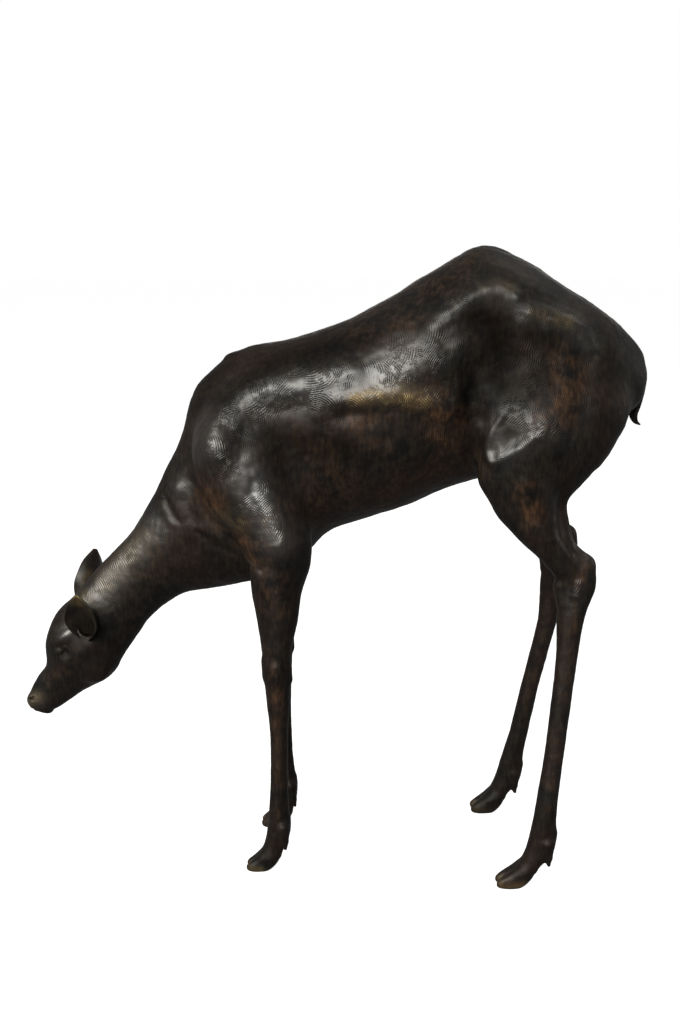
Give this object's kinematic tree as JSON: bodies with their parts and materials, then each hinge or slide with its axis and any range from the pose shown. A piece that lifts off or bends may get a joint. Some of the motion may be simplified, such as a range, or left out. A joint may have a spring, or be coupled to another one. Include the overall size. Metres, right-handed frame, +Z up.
{
  "type": "bronze statuette",
  "caption": "Free-standing cast bronze of a grazing doe with lowered head, raised rump, leaf-shaped ears, short tail and slender splayed legs on cloven hooves.",
  "frame": {"origin": "on the ground under the middle of the bounding box", "axes": "+Z up, the doe faces -X, its left side is at -Y"},
  "size_m": [0.4172, 0.1226, 0.4195],
  "materials": {
    "patinated_bronze": "satin near-black brown patina over tooled bronze, rubbed to gold-brown on ridges and toes",
    "bright_bronze": "bare bronze rod, sawn and filed"
  },
  "bodies": {
    "root": {"head": "patinated_bronze", "neck": "patinated_bronze", "torso_front": "patinated_bronze", "torso_rear": "patinated_bronze", "left_fore_leg": "patinated_bronze", "left_hind_leg": "patinated_bronze", "right_fore_leg": "patinated_bronze", "right_hind_leg": "patinated_bronze", "left_ear": "patinated_bronze", "right_ear": "patinated_bronze", "tail": "patinated_bronze", "head_dowel_left": "bright_bronze", "head_dowel_right": "bright_bronze", "neck_dowel_left": "bright_bronze", "neck_dowel_right": "bright_bronze", "torso_front_dowel_left": "bright_bronze", "torso_front_dowel_right": "bright_bronze", "torso_front_dowel_top": "bright_bronze", "torso_front_dowel_bottom": "bright_bronze", "left_fore_leg_dowel": "bright_bronze", "left_hind_leg_dowel": "bright_bronze", "right_fore_leg_dowel": "bright_bronze", "right_hind_leg_dowel": "bright_bronze", "torso_front_plug_top": "bright_bronze", "torso_front_plug_bottom": "bright_bronze", "torso_rear_plug_top": "bright_bronze", "torso_rear_plug_bottom": "bright_bronze"}
  },
  "joints": []
}
